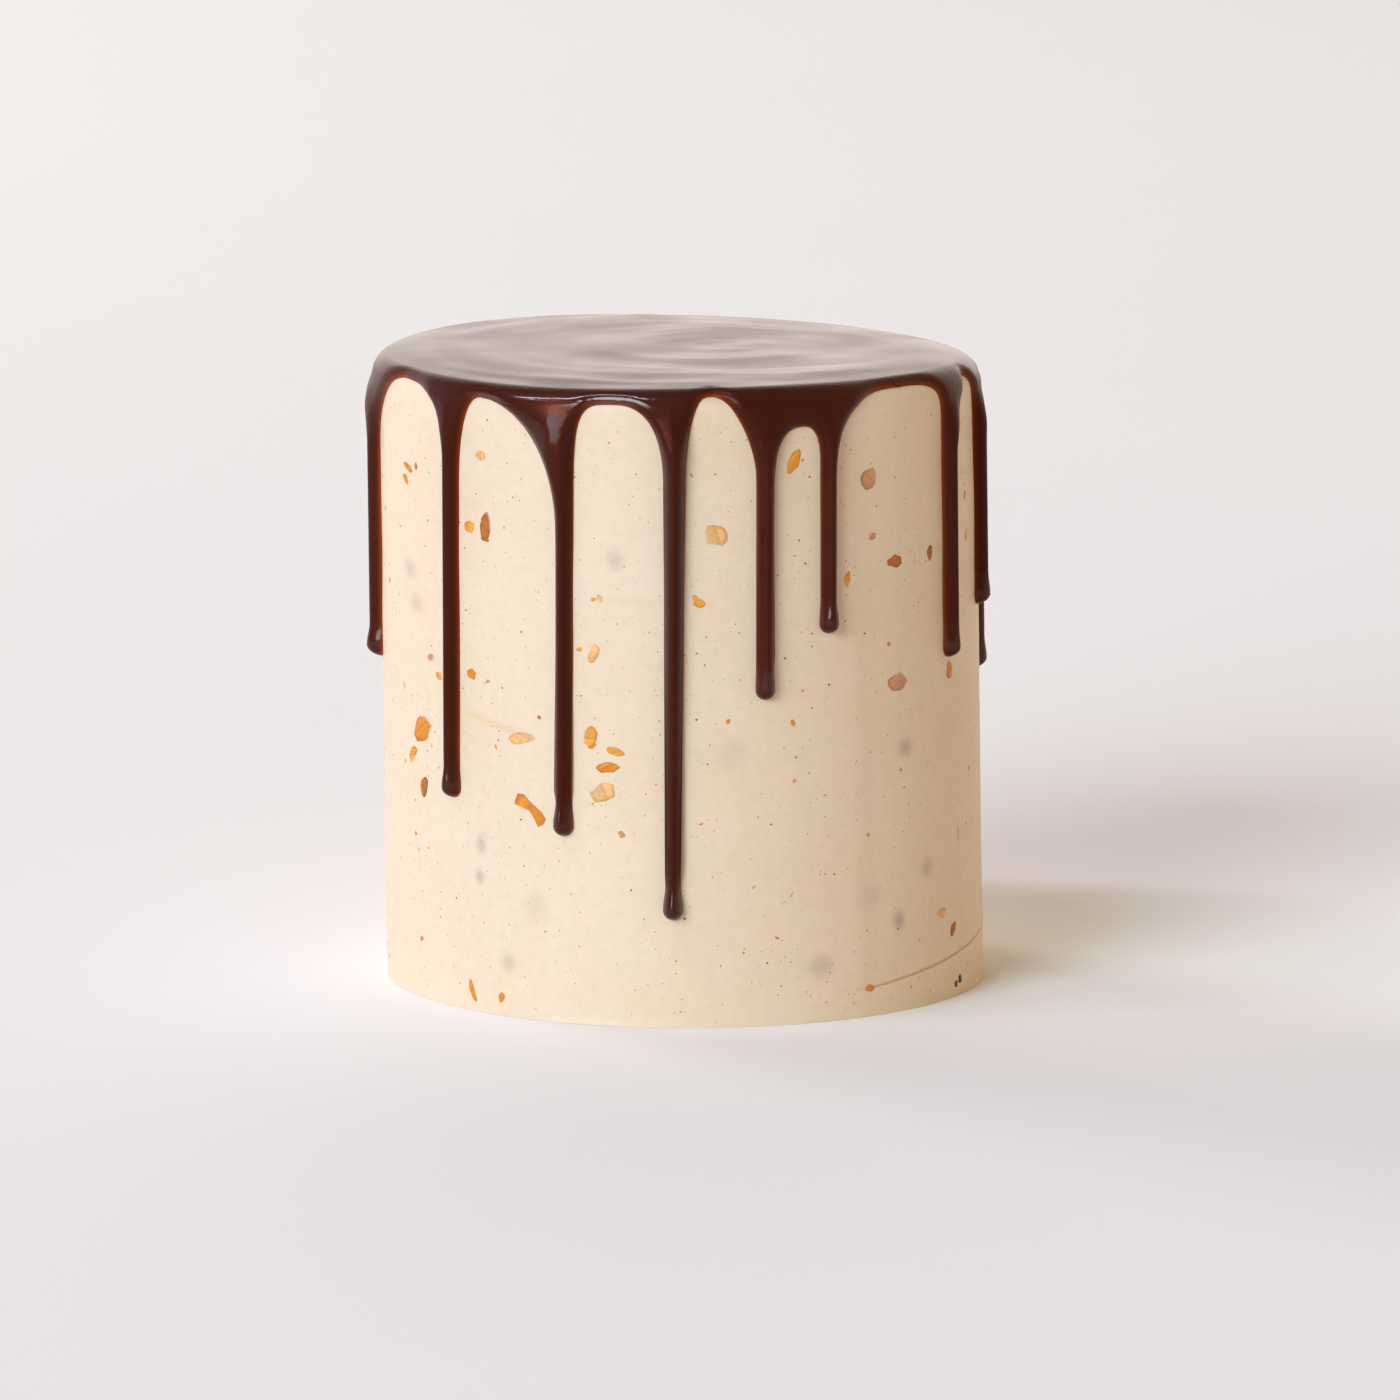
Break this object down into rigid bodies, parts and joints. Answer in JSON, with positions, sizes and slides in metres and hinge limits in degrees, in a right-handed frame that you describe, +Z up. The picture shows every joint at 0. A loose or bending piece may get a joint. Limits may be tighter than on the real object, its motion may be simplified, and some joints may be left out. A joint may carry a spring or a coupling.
{
  "type": "chocolate_peanut_butter_cake",
  "caption": "Tall round layer cake in smooth peanut butter buttercream flecked with chopped peanuts, with a poured chocolate ganache top and long drips down the side.",
  "frame": {"origin": "Centre of the cake's flat base, on the surface it stands on", "axes": "+Z up; the front of the picture faces -Y; +X to the right of the picture"},
  "size_m": [0.1548, 0.1551, 0.1574],
  "materials": {
    "buttercream": "satin",
    "chocolate_ganache": "satin"
  },
  "bodies": {
    "root": {"frosted_cake": "buttercream", "ganache": "chocolate_ganache"}
  },
  "joints": []
}
